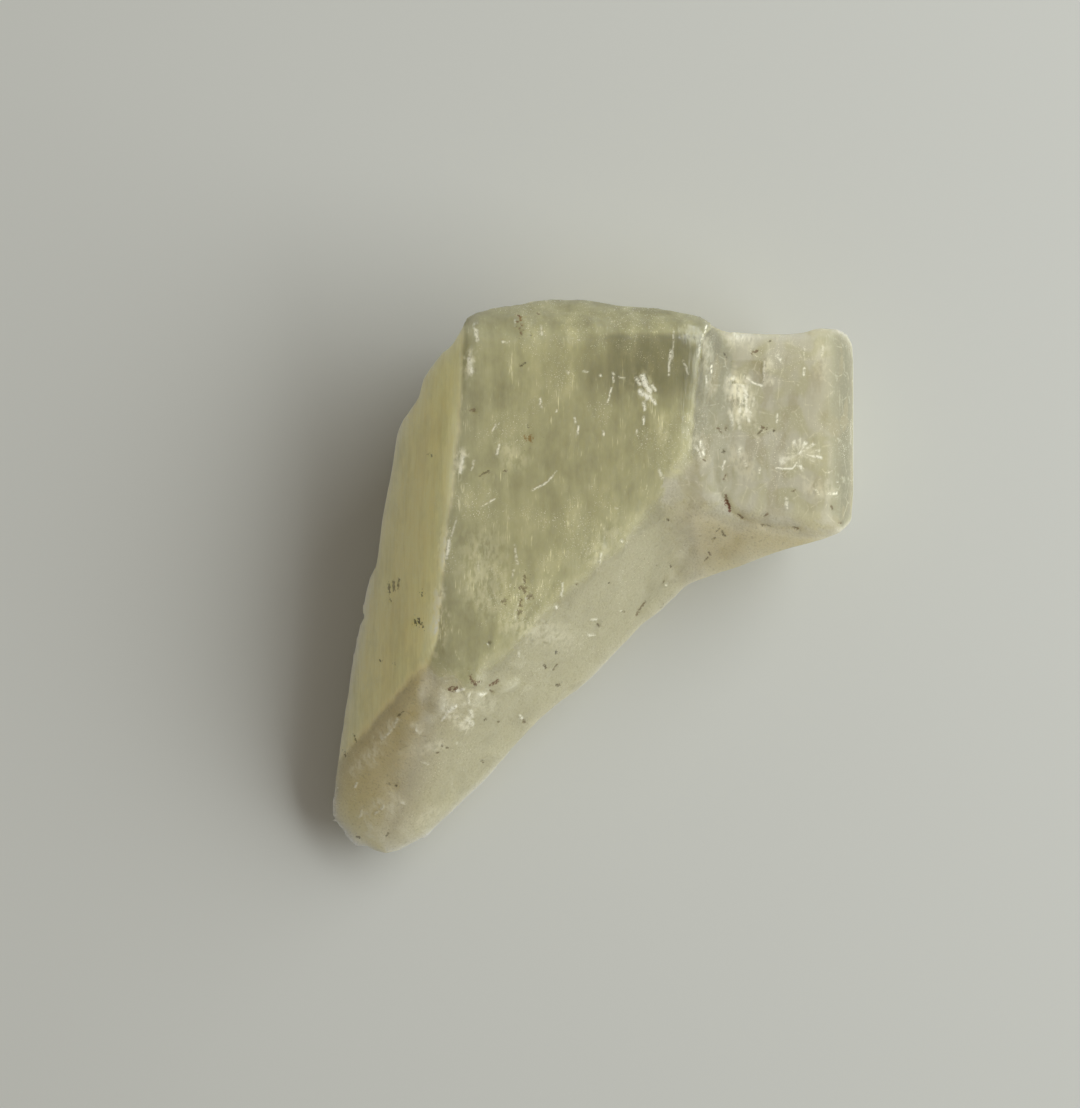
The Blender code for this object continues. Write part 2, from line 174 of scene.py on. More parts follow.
BLOCK = {
    "block_top": through(*on(block_top, (8, 6), (9, 6), (8, 7))),
    "block_head": face(*on(block_top, (11.2, 10.12), (5.0, 10.15)), 48),
    "block_end": face(*on(block_top, (10.5, 2.0), (10.5, 10.2)), 62),
    "block_skirt": face(*on(block_top, (5.0, 2.9), (10.6, 1.9)), 54),
    "skirt_under": face((4.3, -0.3, 2.2), (11.0, 2.0, 3.6), 116),
    "block_root": face((2.5, 12.0, 0.0), (2.5, -3.0, 0.0), 90),
}
UNDERSIDE = {
    "keel": face((-8.5, 4.6, 4.7), (-10.43, -4.87, 3.1), 129),
    "keel_head": face((-5.6, 10.4, 5.6), (-8.3, 6.1, 4.9), 118),
    "head_under": face((9.0, 10.5, 5.2), (-4.0, 11.7, 5.4), 108),
    "right_under": face((11.25, 2.0, 4.4), (11.25, 10.0, 4.6), 113),
    "block_under": face((5.2, 0.0, 0.0), (5.6, 10.0, 0.0), 167),
    "foot_under": through((-11.2, -10.0, 1.5), (-6.5, -7.0, 0.0), (-8.94, -12.08, 1.2)),
    "rest": (Vector((0, 0, 0)), Vector((0, 0, -1))),
}


def to_object(bm, name):
    """Ends a bmesh as an object in the scene."""
    mesh = bpy.data.meshes.new(name)
    bm.to_mesh(mesh)
    bm.free()
    obj = bpy.data.objects.new(name, mesh)
    bpy.context.scene.collection.objects.link(obj)
    return obj


def cleaved(name, faces, size):
    """A cube cut down to these faces."""
    bm = bmesh.new()
    bmesh.ops.create_cube(bm, size=size)
    for point, normal in faces.values():
        geometry = bm.verts[:] + bm.edges[:] + bm.faces[:]
        cut = bmesh.ops.bisect_plane(
            bm, geom=geometry, dist=1e-5, plane_co=point, plane_no=normal, clear_outer=True
        )
        edges = [item for item in cut["geom_cut"] if isinstance(item, bmesh.types.BMEdge)]
        if edges:
            bmesh.ops.holes_fill(bm, edges=edges)
    bmesh.ops.recalc_face_normals(bm, faces=bm.faces[:])
    return to_object(bm, name)


def slab(name, outline, low, high):
    """A flat outline raised to a solid."""
    bm = bmesh.new()
    flat = bm.faces.new([bm.verts.new((x, y, low)) for x, y in outline])
    raised = bmesh.ops.extrude_face_region(bm, geom=[flat])["geom"]
    top = [item for item in raised if isinstance(item, bmesh.types.BMVert)]
    bmesh.ops.translate(bm, verts=top, vec=(0, 0, high - low))
    bmesh.ops.recalc_face_normals(bm, faces=bm.faces[:])
    return to_object(bm, name)


def evaluated(obj):
    """The mesh of an object after its modifiers."""
    bpy.context.view_layer.update()
    graph = bpy.context.evaluated_depsgraph_get()
    return bpy.data.meshes.new_from_object(obj.evaluated_get(graph))


body = cleaved("prism", PRISM, CUBE)
block = cleaved("block", BLOCK, CUBE + 2)
underside = cleaved("underside", UNDERSIDE, CUBE + 4)
blank = slab("blank", OUTLINE, BLANK_FOOT, BLANK_HEIGHT)
chip = slab("chip", CHIP_OUTLINE, BLOCK_HEIGHT - CHIP_DEPTH, BLANK_HEIGHT)
tilt = Matrix.Identity(4)
tilt[2][0] = -BLOCK_FALL_RIGHT
tilt[2][3] = BLOCK_FALL_RIGHT * BLOCK_CORNER[0]
chip.data.transform(tilt)
joins = ((block, "UNION"), (blank, "INTERSECT"), (underside, "INTERSECT"), (chip, "DIFFERENCE"))
for other, operation in joins:
    join = body.modifiers.new(operation.lower(), "BOOLEAN")
    join.operation = operation
    join.object = other
remesh = body.modifiers.new("even_mesh", "REMESH")
remesh.mode = "VOXEL"
remesh.voxel_size = VOXEL
crystal_mesh = evaluated(body)
for helper in (body, block, underside, blank, chip):
    bpy.data.objects.remove(helper)

# The crystal's skin: acid has rounded and frosted the sloping faces, the faces along the c axis
# stand in low ribs and ledges, the head is hackly, and rust-filled crevices and pits cut in.


def smoothstep(low, high, value):
    """0 below low and 1 above high, with an even turn between them."""
    t = np.clip((value - low) / (high - low), 0, 1)
    return t * t * (3 - 2 * t)


def height_over(plane, points):
    """Height of a flat face over each point's place in plan."""
    point, normal = (np.array(v) for v in plane)
    return point[2] - ((points[:, :2] - point[:2]) @ normal[:2]) / normal[2]


def top_of(body, points):
    """Height of the uppermost skin of a body over each point's place in plan."""
    return np.min([height_over(p, points) for p in body.values() if p[1].z > 0.05], axis=0)


def facing_up(normals):
    """0 on the underside and on sheer faces, 1 on all that can be seen well from above."""
    return smoothstep(0.0, 0.25, normals[:, 2])


def shows(points, normals, body, names, blend=0.45):
    """1 where one of these faces is the stone's skin as seen from above, 0 on all other faces."""
    skin = top_of(body, points)
    nearest = np.min([height_over(body[name], points) for name in names], axis=0)
    share = 1 - smoothstep(0.03, blend, nearest - skin)
    hidden = smoothstep(0.0, 0.3, top_of(PRISM if body is BLOCK else BLOCK, points) - skin)
    in_block = points[:, 0] > BLOCK_START
    share *= np.where(in_block, 1 - hidden, 0.0 if body is BLOCK else 1.0)
    return share * facing_up(normals)


def noise_at(points, seed):
    """Gentle lumps, from about -1 to 1, in a pattern of their own for each seed."""
    offset = Vector((17.3 * seed, -9.1 * seed, 5.7 * seed))
    return np.array([noise.noise(Vector(p) + offset) for p in points])


def along_growth(points, across, along):
    """Points turned to the c axis and scaled, so that a noise is drawn out along it."""
    lean_cos, lean_sin = math.cos(C_AXIS_LEAN), math.sin(C_AXIS_LEAN)
    turn = np.array([[lean_cos, -lean_sin, 0], [lean_sin, lean_cos, 0], [0, 0, 1]])
    return (points @ turn.T) * np.array([across, along, across])


def terraces(value, steps, sharpness=7.0):
    """A noise turned to flat treads with steep risers between them."""
    scaled = value * steps
    tread = np.round(scaled)
    riser = np.tanh(sharpness * (scaled - tread)) / math.tanh(sharpness / 2)
    return (tread + 0.5 * riser) / steps


def distance_to_line(points, line):
    """How far each point is, in plan, from a line of straight stretches."""
    best = np.full(len(points), 1e9)
    for start, end in zip(np.array(line[:-1]), np.array(line[1:])):
        step = end - start
        share = np.clip(((points[:, :2] - start) @ step) / (step @ step + 1e-9), 0, 1)
        nearest = start + share[:, None] * step
        best = np.minimum(best, np.linalg.norm(points[:, :2] - nearest, axis=1))
    return best


SLOPES = ("etched_slope", "right_turn", "crest_turn", "slope_turn")
CRESTS = ("crest", "crest_turn", "turn_crest", "right_turn")
FOOT = ("foot", "foot_turn")
HEAD = ("head", "head_corner")
BLOCK_TOPS = ("block_top", "block_head", "block_end")
LAMP_SIDE = (0.785, 0.196, 0.588)  # the lamp's direction: etched skin facing it is painted darker, and skin turned from it painted lighter, to even out the lamp's shading
ETCH_ROUNDS = 66  # of smoothing where acid has rounded the sloping faces
CREST_ROUNDS = 88  # and along their crests, the valley under the block and the chip's seam
CREST_REACH = 1.0
VALLEY_REACH = 0.6  # how near the two bodies' tops are in height along their valley
VALLEY_HEAD = 3.4  # how far the valley runs towards the head
SEAM_REACH = 0.45
FINE_REACH = 2.4  # how far the finer mesh round each mark reaches, in the mark's radii
HEAD_BREAK = 11.0  # where the head is broken off, towards +Y
SKIN_SOFTENING = 12  # rounds of softening for the edges between etched and fresh skin
LEFT_SOFTENING = 5
RIB_HEIGHT = 0.035
RIB_STEPS = 5
FROST_HEIGHT = 0.05
HACKLE_HEIGHT = 0.12
HACKLE_STEPS = 4
CREVICE = [  # a rust-filled crack round the block's corner
    (5.2, 4.9), (5.32, 4.0), (5.62, 3.22), (6.02, 2.68), (6.6, 2.32), (7.5, 2.12), (8.9, 2.0),
]
CREVICE_DEPTH = 0.08
CREVICE_WIDTH = 0.1
KNOB_LINE = [(-8.1, -6.2), (-6.0, -5.0), (-4.6, -4.6), (-3.4, -4.5)]
KNOB_HEIGHT = 0.3
KNOB_SPREAD = 0.8
RIM_HEIGHT = 0.08  # of the lumps along the upper edge of the right wall
RIM_SPREAD = 0.4
LUMP_HEIGHT = 0.05  # where fine cracks have opened the worn skin
RECESS = (6.55, 8.65)  # the middle of a square chip in the block
RECESS_HALF = (0.66, 0.48)
RECESS_DEPTH = 0.09
RECESS_EDGE = 0.05
RECESS_MARGIN = 0.15  # of finer mesh round the chip
RELIEF_FADE = 1.0  # the relief dies out over this height above the table
RESTING_HEIGHT = 0.4 * VOXEL  # the skin below this is the flat rest
MARK_SPAN = 2.5  # no mark reaches further than this from its middle
STRAY = 0.04  # how far marks wander from their straight lines
HAZE_STRAY = 0.2
STAIN_REACH = 2.1  # of the marks, in their own radii
GLINT_REACH = 1.1
PEPPER_REACH = 7.0
HAZE_REACH = 1.4
STAIN_DEPTH = 0.03
PITS = [  # x, y, radius, depth
    (-7.55, -2.0, 0.2, 0.12), (-0.8, -5.0, 0.25, 0.12), (-0.3, -5.6, 0.22, 0.1),
    (-8.5, -9.0, 0.3, 0.1), (5.6, 0.9, 0.3, 0.12), (6.1, 1.5, 0.22, 0.1),
    (4.2, 1.1, 0.2, 0.08), (2.5, -0.6, 0.2, 0.08), (-1.6, -1.1, 0.3, 0.06),
]
STAINS = {  # rusty and black pits: x and y of both ends, radius, and 0 black to 1 rust-red
    "head": [
        (-3.12, 10.98, -3.1, 10.95, 0.06, 0.85), (-2.98, 10.86, -3.0, 10.8, 0.07, 0.95),
        (-3.14, 10.72, -3.1, 10.7, 0.05, 0.7), (-2.94, 10.64, -2.95, 10.6, 0.06, 0.9),
        (-3.08, 10.42, -3.06, 10.38, 0.07, 0.8), (-2.9, 10.36, -2.88, 10.34, 0.05, 0.6),
        (-3.0, 10.24, -2.97, 10.2, 0.07, 0.75), (-3.2, 10.5, -3.18, 10.48, 0.04, 0.7),
        (-2.6, 10.2, -2.55, 10.15, 0.05, 0.1), (-2.3, 11.1, -2.25, 11.05, 0.06, 0.6),
    ],
    "broad_face": [
        (-3.05, 8.85, -2.8, 8.95, 0.05, 0.1), (-2.7, 6.35, -2.65, 6.3, 0.05, 0.1),
        (-2.75, 5.85, -2.6, 5.8, 0.15, 1), (-5.05, 7, -4.9, 7, 0.08, 0.5),
        (-4.7, 4.25, -4.35, 4.45, 0.06, 0.25), (-3.7, 4.45, -3.55, 4.5, 0.06, 0.3),
        (-2.85, 0, -2.8, -0.15, 0.1, 0.4), (-2.95, -0.4, -2.8, -0.6, 0.12, 0.45),
        (-3, -0.95, -3.05, -1.2, 0.08, 0.45), (-3.05, -1.4, -3.1, -1.6, 0.11, 0.35),
        (-2.65, -0.85, -2.55, -0.8, 0.12, 0.4), (-3.7, -1.05, -3.6, -1, 0.12, 0.4),
        (-4.35, -2.75, -4.3, -2.75, 0.05, 0.2), (-0.65, -0.3, -0.65, -0.3, 0.05, 0.3),
    ],
    "left_face": [
        (-6.85, 5.2, -6.8, 5.1, 0.06, 0.1), (-7.35, -1.75, -7.35, -1.9, 0.09, 0),
        (-7.2, -1.9, -7.15, -2.05, 0.07, 0), (-7.5, -1.8, -7.52, -1.95, 0.08, 0.1),
        (-7.15, -0.6, -7.15, -0.8, 0.05, 0.2), (-8.65, -0.25, -8.65, -0.65, 0.07, 0.4),
        (-8.45, -0.2, -8.45, -0.55, 0.07, 0.4), (-8.25, -0.1, -8.25, -0.45, 0.06, 0.4),
        (-8.6, -0.95, -8.55, -1.05, 0.05, 0.5), (-9.05, -3.55, -9, -3.6, 0.05, 0.2),
        (-8.4, -3.65, -8.4, -3.7, 0.05, 0.2),
    ],
    "right_wall": [
        (4.7, 4.95, 4.75, 4.9, 0.05, 0.4),
    ],
    "foot": [
        (-5.1, -4.2, -4.95, -4.5, 0.1, 0.7), (-4.95, -4.35, -4.7, -4.35, 0.05, 0.5),
        (-4.25, -4.6, -3.95, -4.4, 0.07, 0.7), (-4.25, -4.85, -4.2, -4.9, 0.06, 0.4),
        (-6, -4.75, -5.7, -4.7, 0.11, 0.75), (-8.25, -5.9, -7.95, -5.7, 0.05, 0.3),
        (-10.2, -6.85, -10.15, -7.05, 0.06, 0.35), (-10.65, -7.55, -10.6, -7.75, 0.06, 0.3),
        (-8.75, -8.95, -8.7, -8.95, 0.08, 0.15), (-8.45, -9.05, -8.4, -9.05, 0.06, 0.2),
        (-6.45, -7.2, -6.35, -7.2, 0.05, 0.3), (-6.2, -7.25, -6.1, -7.3, 0.05, 0.3),
        (-6.65, -7.5, -6.55, -7.5, 0.05, 0.4), (-4.55, -6.1, -4.5, -6.05, 0.05, 0.2),
        (-4, -6.2, -3.95, -6.2, 0.05, 0.3), (-4.7, -7.95, -4.65, -8, 0.06, 0.3),
        (-10.2, -11.35, -10.05, -11.35, 0.05, 0.4), (-8.9, -11.3, -8.8, -11.15, 0.05, 0.4),
    ],
    "slope": [
        (-2.9, -6.2, -2.85, -6.3, 0.07, 0.45), (0.75, -0.25, 0.75, -0.25, 0.05, 0.1),
        (2.8, 0.5, 2.8, 0.5, 0.05, 0.2), (3.45, 0.45, 3.45, 0.45, 0.06, 0.2),
        (3.1, -0.25, 3.15, -0.15, 0.05, 0.35), (1.35, -1.5, 1.45, -1.5, 0.06, 0.3),
        (0.3, -2.05, 0.35, -2.1, 0.08, 0.25), (2, -1.65, 2.1, -1.45, 0.07, 0.5),
        (2.1, -1.45, 2.35, -1.1, 0.05, 0.5), (3.05, -1.35, 3.15, -1.2, 0.05, 0.55),
        (-1.5, -3.15, -1.5, -3.25, 0.06, 0.05), (-2, -3.75, -1.95, -3.9, 0.06, 0.2),
        (-1.45, -3.75, -1.6, -4, 0.05, 0.3), (-1.45, -4.7, -1.35, -4.65, 0.06, 0.2),
        (3.2, 2.45, 3.2, 2.4, 0.06, 0.2), (5.55, 1.95, 5.65, 1.75, 0.07, 0.3),
        (5.15, 1.6, 5.25, 1.65, 0.05, 0.35), (5.05, 1.05, 5.1, 0.9, 0.05, 0.5),
        (5, 0.8, 4.9, 0.7, 0.05, 0.5),
    ],
    "block": [
        (5.3, 1.95, 5.45, 2.05, 0.05, 0.3), (7.5, 10, 7.55, 10, 0.06, 0.2),
        (6.8, 9.5, 7, 9.6, 0.07, 0.6), (5.6, 9.45, 5.65, 9.25, 0.05, 0.15),
        (5.65, 6.25, 5.65, 6.35, 0.07, 0.35), (5.3, 6.3, 5.45, 6.1, 0.05, 0.5),
        (7.2, 6.35, 7.4, 6.25, 0.09, 0.55), (7, 6.05, 7.2, 6.25, 0.05, 0.3),
        (7.7, 6.2, 7.7, 6.2, 0.06, 0.2), (5.55, 5.35, 5.55, 5.3, 0.07, 0.15),
        (5.65, 4.3, 5.55, 4.1, 0.05, 0.5), (5.7, 3.25, 5.85, 2.85, 0.1, 0.85),
        (5.65, 3.5, 5.7, 3.3, 0.05, 0.6), (6.2, 2.6, 6.4, 2.45, 0.06, 0.55),
        (7.2, 2.15, 7.35, 2.15, 0.05, 0.4), (7.45, 2.2, 7.55, 2.1, 0.05, 0.3),
        (7.3, 2.6, 7.45, 2.7, 0.05, 0.5), (8.55, 2.05, 8.8, 2, 0.07, 0.6),
        (8.5, 3.65, 8.6, 3.7, 0.05, 0.45), (10.15, 3, 10.2, 2.9, 0.06, 0.45),
        (10.55, 2.3, 10.6, 2.3, 0.06, 0.5),
    ],
}
GLINTS = {  # white cracks and chips, some of them painted highlights where light catches them: x and y of both ends, radius, and brightness
    "head": [
        (4.8, 10.55, 4.75, 10.3, 0.05, 0.9), (4.65, 10.2, 4.6, 9.9, 0.05, 0.7),
        (-4.9, 10.4, -4.8, 9.9, 0.1, 0.5), (-3.75, 9.85, -3.5, 9.85, 0.05, 0.7),
        (-2.15, 10.55, -2.1, 10.15, 0.05, 0.5),
    ],
    "broad_face": [
        (1.85, 8.35, 2, 8.1, 0.1, 0.7), (2.1, 8.45, 2.25, 8.05, 0.13, 1),
        (2.25, 8.1, 2.4, 7.8, 0.13, 1), (2, 7.8, 2.35, 7.55, 0.13, 0.9),
        (2.4, 7.6, 2.65, 7.3, 0.09, 0.8), (2.15, 7.35, 2.2, 7.05, 0.08, 0.7),
        (2.5, 8.05, 2.65, 7.85, 0.08, 0.8), (0.85, 8.6, 0.9, 8.2, 0.05, 0.7),
        (0.8, 7.95, 0.65, 7.35, 0.05, 0.8), (-2.2, 7.5, -2.15, 7.25, 0.05, 0.9),
        (-1, 8.6, -1, 8.55, 0.05, 0.9), (0.35, 8.5, 0.35, 8.45, 0.05, 0.9),
        (-0.35, 8.65, -0.2, 8.6, 0.06, 0.5), (-1.5, 7, -1.5, 6.95, 0.05, 0.8),
        (-0.75, 6.7, -0.7, 6.5, 0.05, 0.7), (-0.6, 6.35, -0.6, 6.05, 0.05, 0.8),
        (0.5, 6.05, 0.5, 5.95, 0.05, 1), (2.15, 6.75, 2.15, 6.45, 0.05, 0.9),
        (1.85, 6.2, 1.85, 6.05, 0.05, 0.6), (1.1, 8.4, 1.35, 8.35, 0.04, 0.5),
        (2.8, 4.5, 2.95, 4.2, 0.1, 0.4), (1.2, 1.55, 1.25, 1.5, 0.05, 1),
        (1.05, 2.9, 1.05, 2.9, 0.04, 0.7), (-2.55, 3.65, -2, 3.9, 0.05, 0.85),
        (-2, 3.9, -1.5, 4.45, 0.05, 0.6), (-4.6, 3, -4.1, 3.3, 0.04, 0.7),
        (-4.05, 6.4, -4.2, 6.1, 0.05, 0.55), (-3.9, 5.55, -4, 5.15, 0.05, 0.7),
        (-5.15, 9.15, -5.05, 8.6, 0.09, 0.7), (-4.95, 4.95, -5.05, 4.5, 0.05, 0.4),
        (-3.25, 1.35, -3.15, 0.6, 0.07, 0.45), (-3.3, 0.3, -3.35, 0.05, 0.07, 0.4),
        (-4.8, 0.65, -4.75, 0.2, 0.05, 0.35), (0.35, 1, 0.3, 0.65, 0.08, 0.6),
        (-1.25, -0.3, -1.3, -0.8, 0.07, 0.55), (-3.45, -0.3, -3.45, -0.35, 0.05, 0.7),
    ],
    "left_face": [
        (-5.4, 5, -5.55, 4.4, 0.08, 0.7), (-6, 1.55, -6.1, 0.8, 0.08, 0.65),
        (-6.45, -1.65, -6.6, -2.3, 0.09, 0.85), (-5.7, 2.4, -5.9, 1.75, 0.05, 0.35),
    ],
    "right_wall": [
        (3.4, 10.4, 3.35, 9.1, 0.05, 0.4), (3.3, 9.55, 3.2, 8.5, 0.06, 0.6),
        (3.8, 9.1, 4.05, 8.55, 0.05, 0.35), (5, 8.9, 5, 8.65, 0.06, 1),
        (4.5, 9.75, 4.45, 9.3, 0.05, 0.5), (4.8, 8.45, 4.8, 8.2, 0.06, 0.6),
        (4.55, 5.75, 4.7, 5.15, 0.07, 0.9), (4.4, 5.5, 4.55, 5.1, 0.07, 0.6),
    ],
    "foot": [
        (-5.7, -4.8, -5.45, -4.7, 0.09, 1), (-4.75, -4.95, -4.5, -4.95, 0.09, 0.8),
        (-5.2, -4.9, -5.25, -5.25, 0.05, 0.7), (-5.8, -5.4, -6.1, -5.65, 0.11, 0.9),
        (-6.15, -5.75, -6.35, -6.05, 0.09, 0.9), (-5.15, -5.7, -5.1, -5.9, 0.13, 0.6),
        (-5.3, -6.05, -5.1, -6.25, 0.14, 0.5), (-7.45, -6.45, -7.4, -6.55, 0.06, 0.9),
        (-8.5, -6.45, -8.65, -6.7, 0.08, 0.6), (-8.8, -6.8, -8.95, -6.9, 0.06, 0.7),
        (-8.25, -6.05, -8.4, -6.35, 0.06, 0.5), (-10.1, -8.9, -10.2, -9.1, 0.07, 1),
        (-8.95, -9.9, -9.05, -10.05, 0.08, 0.7), (-9.2, -10.15, -9.35, -10.25, 0.06, 1),
        (-9.95, -10.15, -10, -10.4, 0.08, 0.6), (-8.2, -9.7, -8.05, -9.8, 0.06, 0.5),
        (-7.25, -7.9, -7, -8, 0.05, 0.4), (-5.75, -7.05, -5.75, -7.1, 0.05, 0.7),
        (-6, -8.95, -6, -8.95, 0.04, 0.6),
    ],
    "slope": [
        (-1.5, -1.25, -1.5, -1.3, 0.07, 0.9), (-3.05, -6, -3, -6.1, 0.08, 0.9),
        (0, -1.85, 0.2, -1.8, 0.08, 0.5), (-0.15, -2.5, 0.1, -2.45, 0.07, 0.5),
        (3.2, -0.35, 3.25, -0.35, 0.06, 0.8), (1.25, -1.45, 1.3, -1.45, 0.05, 0.6),
        (-3.1, -3.2, -3.1, -3.3, 0.08, 0.4),
    ],
    "block": [
        (7.8, 4.62, 8.5, 4.62, 0.05, 1), (8.5, 4.62, 8.7, 4.85, 0.05, 0.8),
        (8.81, 5.26, 8.85, 5.3, 0.09, 1), (8.85, 4.72, 8.9, 4.6, 0.1, 0.9),
        (6.35, 8.1, 6.6, 7.7, 0.05, 1), (6.45, 7.7, 6.55, 7.45, 0.07, 1),
        (6.2, 7.8, 6.4, 7.35, 0.05, 0.6), (6, 8.5, 6, 8.35, 0.06, 0.9),
        (6.25, 7.25, 6.25, 7, 0.07, 0.8), (6.5, 7.35, 6.55, 6.9, 0.05, 0.9),
        (6.65, 7.15, 6.75, 6.85, 0.07, 1), (6.6, 6.7, 6.65, 6.6, 0.06, 0.8),
        (6.85, 7.7, 6.8, 7.2, 0.04, 0.5), (6.45, 8.5, 6.8, 8.25, 0.04, 0.7),
        (6.8, 8.25, 7.2, 8.1, 0.05, 1), (7.3, 9.1, 7.25, 8.2, 0.07, 0.5),
        (6.05, 10.3, 6.15, 10.15, 0.11, 0.7), (6.4, 10.2, 6.3, 10, 0.05, 0.5),
        (7.85, 9.4, 8, 9.2, 0.09, 0.8), (9, 8.85, 9, 8.6, 0.06, 1), (9, 9.75, 9, 9.2, 0.04, 0.5),
        (9.8, 9.8, 9.75, 9.4, 0.08, 0.45), (7.85, 6.9, 7.85, 6.6, 0.05, 0.7),
        (6.25, 5.45, 6.25, 5.2, 0.08, 0.7), (6.15, 6.65, 6.25, 6.3, 0.08, 0.4),
        (5.9, 6.85, 5.95, 6.45, 0.1, 0.4), (7.1, 4.6, 7.1, 4.4, 0.06, 0.6),
        (6.45, 4.95, 6.55, 4.7, 0.06, 0.4), (9.5, 3.7, 9.6, 3.55, 0.05, 0.8),
        (10, 3.55, 10.4, 3.55, 0.06, 0.8), (9.95, 4.45, 10.05, 4.45, 0.05, 0.6),
        (10.4, 4.05, 10.45, 4.05, 0.05, 0.5), (8.25, 3.35, 8.25, 2.95, 0.08, 0.6),
        (8.7, 8.1, 8.75, 8.1, 0.04, 0.5), (5.6, 4.9, 5.5, 4.55, 0.05, 0.6),
    ],
}
HAZES = {  # clouds of fine cracks: x and y of both ends, radius, and how white
    "broad_face": [
        (2.1, 8.3, 2.35, 7.5, 0.35, 0.55), (-4.9, 1.0, -5.0, -0.6, 0.5, 0.25),
        (-3.3, -1.9, -1.2, -2.6, 0.6, 0.3), (-5.1, 9.4, -5.15, 8.5, 0.2, 0.7),
        (-5.5, 5.2, -5.6, 4.3, 0.2, 0.7), (-6.1, 1.9, -6.3, 0.6, 0.2, 0.7),
        (-6.45, -0.6, -6.65, -2.2, 0.25, 0.7), (-4.6, 1.2, -4.4, -0.8, 0.9, 0.25),
        (-3.6, 5.4, -3.2, 4.9, 0.5, 0.25), (0.2, 1.0, 0.9, 1.8, 0.6, 0.2),
        (2.9, 6.5, 3.1, 5.6, 0.3, 0.2), (-6.3, -1.5, -6.5, -3.0, 0.3, 0.35),
    ],
    "right_wall": [
        (4.75, 9.9, 4.95, 7.9, 0.25, 0.3), (4.7, 7.9, 4.8, 6.0, 0.2, 0.15),
        (4.4, 5.9, 4.7, 5.0, 0.3, 0.3), (3.9, 10.3, 4.3, 9.9, 0.25, 0.3),
    ],
    "foot": [
        (-5.6, -5.0, -4.5, -5.3, 0.45, 0.4), (-8.35, -6.1, -8.6, -6.35, 0.15, 0.7),
        (-8.9, -6.75, -9.1, -7.0, 0.28, 0.75), (-9.3, -7.5, -9.55, -7.85, 0.36, 0.75),
        (-9.9, -8.0, -10.2, -8.4, 0.28, 0.7), (-8.2, -7.6, -8.0, -7.5, 0.2, 0.3),
        (-7.5, -7.4, -6.4, -7.1, 0.25, 0.5),
        (-9.2, -9.8, -8.6, -10.1, 0.3, 0.7), (-9.8, -10.2, -9.5, -11.2, 0.35, 0.5),
        (-8.0, -11.0, -7.0, -10.2, 0.4, 0.35), (-6.2, -5.6, -5.4, -6.3, 0.3, 0.7),
        (-7.5, -6.2, -7.3, -6.5, 0.12, 0.8), (-8.7, -9.3, -8.2, -9.7, 0.2, 0.5),
    ],
    "block": [
        (6.15, 8.2, 6.4, 7.0, 0.5, 0.95), (5.9, 10.1, 6.6, 10.1, 0.3, 0.5),
        (7.5, 9.2, 7.45, 8.3, 0.15, 0.5), (8.2, 4.95, 8.8, 5.2, 0.3, 0.4),
        (8.8, 5.5, 9.3, 5.3, 0.35, 0.3), (6.1, 5.2, 6.6, 4.6, 0.4, 0.3),
        (9.6, 9.8, 9.7, 8.6, 0.25, 0.25), (9.3, 3.8, 10.2, 3.6, 0.3, 0.3),
    ],
}
STARBURST = (8.81, 5.24)  # the middle of a fan of cracks inside the block
STARBURST_REACH = 1.25
RAYS = [  # direction in degrees, length, half the spread in degrees, and brightness
    (117, 0.66, 13, 0.75), (90, 0.72, 7, 0.5), (61, 0.62, 12, 0.85), (35, 0.82, 9, 0.7),
    (9, 0.95, 4, 0.55), (-10, 1.05, 5, 0.95), (-27, 0.78, 5, 0.45), (148, 0.42, 12, 0.35),
    (178, 0.65, 4, 0.45), (203, 1.0, 14, 0.5), (-95, 0.6, 12, 0.45),
]


def rays_over(points):
    """How bright each point is in the starburst: every ray is brightest down its middle."""
    offset = points[:, :2] - STARBURST
    away = np.hypot(offset[:, 0], offset[:, 1])
    angle = np.degrees(np.arctan2(offset[:, 1], offset[:, 0]))
    bright = np.zeros(len(points))
    for direction, length, spread, last in RAYS:
        aside = np.abs((angle - direction + 180) % 360 - 180)
        ray = smoothstep(spread, 0.5 * spread, aside) * smoothstep(length, 0.85 * length, away)
        bright = np.maximum(bright, last * ray * (0.3 + 0.7 * np.minimum(away / length, 1)))
    return bright


def skin_of(bm):
    """Where the skin's vertices are, and which way they face."""
    bm.normal_update()
    return np.array([v.co for v in bm.verts]), np.array([v.normal for v in bm.verts])


def marks_over(points, groups, reach):
    """How strongly each point is marked, out to a reach in radii, and that mark's last value."""
    strength = np.zeros(len(points))
    value = np.zeros(len(points))
    for x1, y1, x2, y2, radius, last in [mark for group in groups.values() for mark in group]:
        near = np.abs(points[:, :2] - ((x1 + x2) / 2, (y1 + y2) / 2)).max(axis=1) < MARK_SPAN
        away = distance_to_line(points[near], [(x1, y1), (x2, y2)])
        field = np.zeros(len(points))
        field[near] = np.clip(1.15 - 1.15 * away / (reach * radius), 0, 1)
        value = np.where(field > strength, last, value)
        strength = np.maximum(strength, field)
    return strength, value


def worn(bm, verts, rounds):
    """Rounds the skin at these vertices, a little in each round."""
    for _ in range(rounds):
        bmesh.ops.smooth_vert(
            bm, verts=verts, factor=0.5, use_axis_x=True, use_axis_y=True, use_axis_z=True
        )


def softened(values, links, rounds):
    """Each vertex's value drawn towards its neighbours', round after round."""
    neighbours = np.bincount(links.ravel(), minlength=len(values))
    for _ in range(rounds):
        total = np.bincount(links[:, 0], values[links[:, 1]], len(values))
        total += np.bincount(links[:, 1], values[links[:, 0]], len(values))
        values = (values + total / neighbours) / 2
    return values


